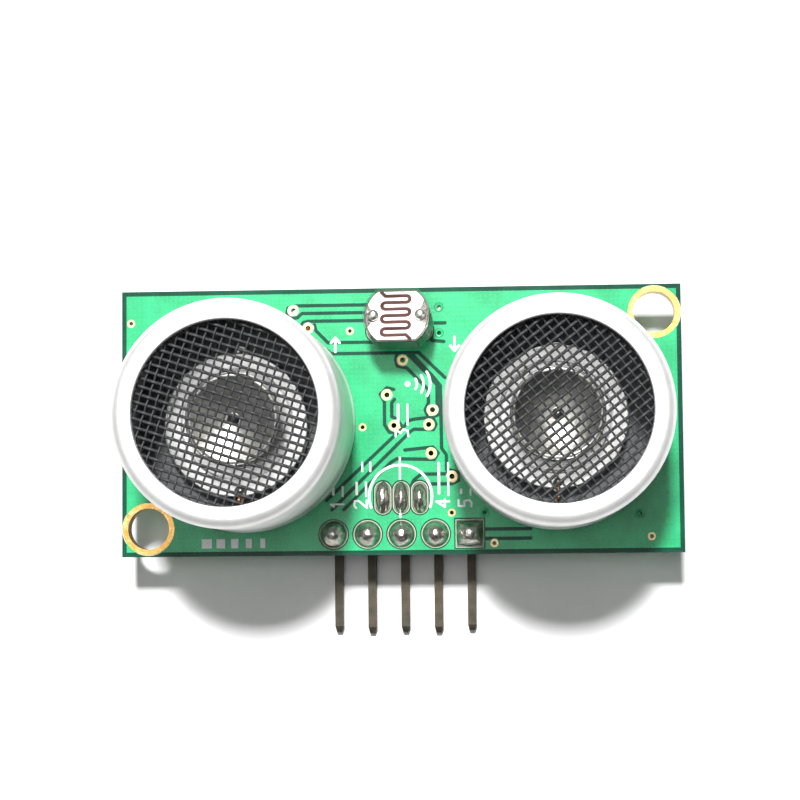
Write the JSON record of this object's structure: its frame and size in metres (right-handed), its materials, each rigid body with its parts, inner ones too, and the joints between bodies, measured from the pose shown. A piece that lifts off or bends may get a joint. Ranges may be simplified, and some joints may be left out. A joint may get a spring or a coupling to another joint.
{
  "type": "ultrasonic distance sensor",
  "caption": "Ultrasonic distance sensor board with open transmitter and receiver cans, a light sensor and a bent pin header.",
  "frame": {"origin": "centre of the board's front face, midway between the two mounting holes", "axes": "+Z out of the transducers' fronts, +X along the board towards the receiver, +Y towards the edge with the light sensor; the header pins leave along -Y"},
  "size_m": [0.042, 0.0259, 0.0176],
  "materials": {
    "board_core": "satin glass-epoxy",
    "copper_net": "plain copper",
    "solder_mask": "glossy green lacquer",
    "legend_ink": "matt white ink",
    "gold_plating": "thin gold plate",
    "can_metal": "satin drawn aluminium",
    "screen_wire": "dark woven wire",
    "base_moulding": "matt black",
    "damper_silicone": "soft translucent",
    "piezo_ceramic": "silvered ceramic",
    "disc_metal": "fine turned",
    "cone_metal": "spun, satin",
    "solder": "shiny solder",
    "tinned_wire": "tinned",
    "enamelled_wire": "thin lead wire",
    "sensor_ceramic": "glazed brown",
    "sensor_electrode": "evaporated silver",
    "sensor_track": "sintered red-brown",
    "clear_resin": "clear coat",
    "header_moulding": "matt black",
    "pin_metal": "dull tinned brass",
    "chip_moulding": "matt black epoxy",
    "crystal_metal": "satin lid",
    "resistor_ceramic": "black glaze",
    "capacitor_ceramic": "tan ceramic"
  },
  "bodies": {
    "root": {"amplifier_body": "chip_moulding", "amplifier_leads": "tinned_wire", "board_laminate": "board_core", "capacitor_bodies": "capacitor_ceramic", "capacitor_ends": "solder", "component_pads": "solder", "controller_body": "chip_moulding", "controller_leads": "tinned_wire", "crystal": "crystal_metal", "driver_body": "chip_moulding", "driver_leads": "tinned_wire", "front_copper": "copper_net", "front_legend": "legend_ink", "front_solder_mask": "solder_mask", "header_pin_1": "pin_metal", "header_pin_2": "pin_metal", "header_pin_3": "pin_metal", "header_pin_4": "pin_metal", "header_pin_5": "pin_metal", "header_solder": "solder", "header_strip": "header_moulding", "light_sensor_ceramic": "sensor_ceramic", "light_sensor_coat": "clear_resin", "light_sensor_electrodes": "sensor_electrode", "light_sensor_leads": "tinned_wire", "light_sensor_track": "sensor_track", "mounting_hole_plating": "gold_plating", "rear_copper": "copper_net", "rear_legend": "legend_ink", "rear_solder": "solder", "rear_solder_mask": "solder_mask", "receiver_base": "base_moulding", "receiver_can": "can_metal", "receiver_cone": "cone_metal", "receiver_damper": "damper_silicone", "receiver_diaphragm": "disc_metal", "receiver_lead_wires": "enamelled_wire", "receiver_piezo": "piezo_ceramic", "receiver_screen": "screen_wire", "receiver_terminals": "tinned_wire", "receiver_wire_solder": "solder", "resistor_bodies": "resistor_ceramic", "resistor_ends": "solder", "temperature_sensor_body": "chip_moulding", "temperature_sensor_leads": "tinned_wire", "temperature_sensor_solder": "solder", "transistor_bodies": "chip_moulding", "transistor_leads": "tinned_wire", "transmitter_base": "base_moulding", "transmitter_can": "can_metal", "transmitter_cone": "cone_metal", "transmitter_damper": "damper_silicone", "transmitter_diaphragm": "disc_metal", "transmitter_lead_wires": "enamelled_wire", "transmitter_piezo": "piezo_ceramic", "transmitter_screen": "screen_wire", "transmitter_terminals": "tinned_wire", "transmitter_wire_solder": "solder", "via_barrels": "gold_plating"}
  },
  "joints": []
}
